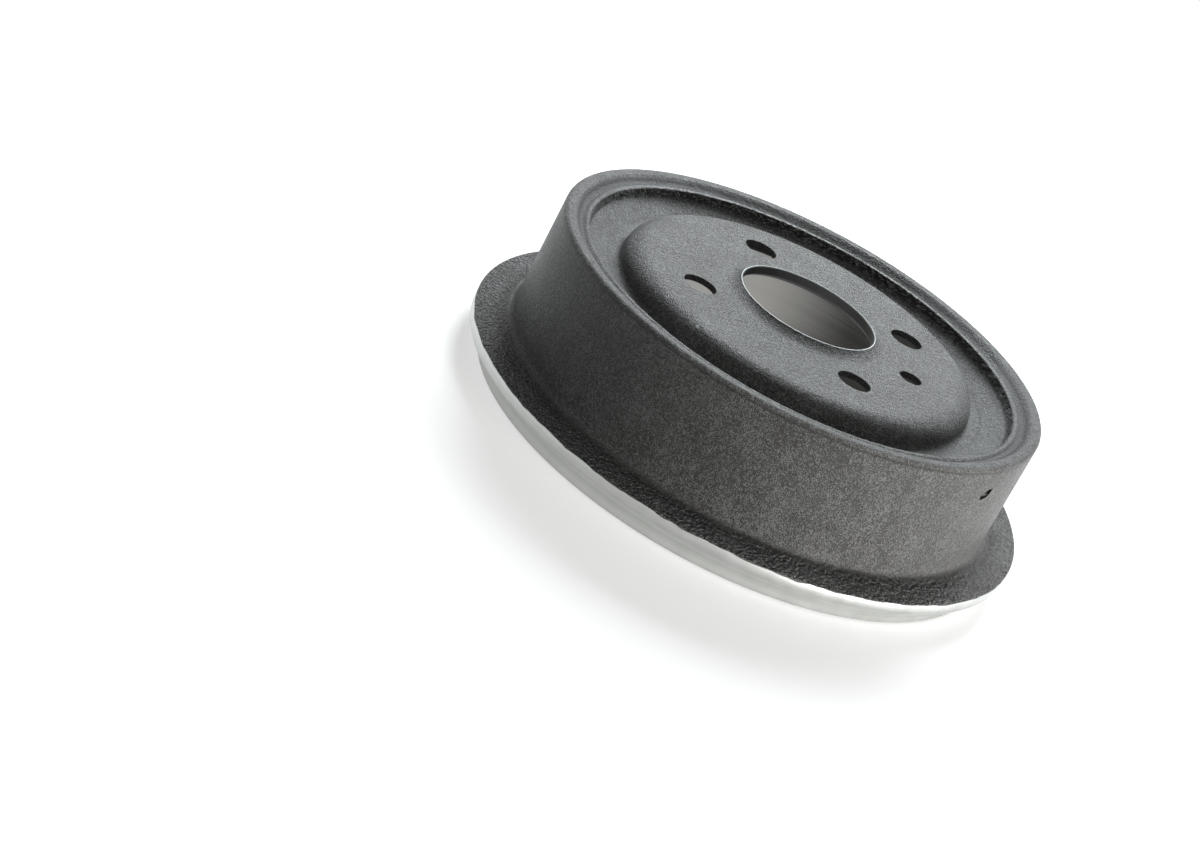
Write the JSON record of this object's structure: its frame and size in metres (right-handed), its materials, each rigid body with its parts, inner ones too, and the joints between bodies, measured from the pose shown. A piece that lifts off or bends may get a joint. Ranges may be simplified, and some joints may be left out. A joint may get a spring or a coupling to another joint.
{
  "type": "brake drum",
  "caption": "Cast brake drum: flanged cylindrical ring with a grooved mouth and a domed hub plate holding a collared centre bore, wheel bolt holes and a screw hole.",
  "frame": {"origin": "centre of the mouth plane, on the drum's axis", "axes": "+Z along the axis from the mouth to the hub, +X through a wheel bolt hole"},
  "size_m": [0.2416, 0.2416, 0.068],
  "materials": {
    "cast_iron": "grey iron, black paint on the cast skin, bright turned edges"
  },
  "bodies": {
    "root": {"brake_drum": "cast_iron"}
  },
  "joints": []
}
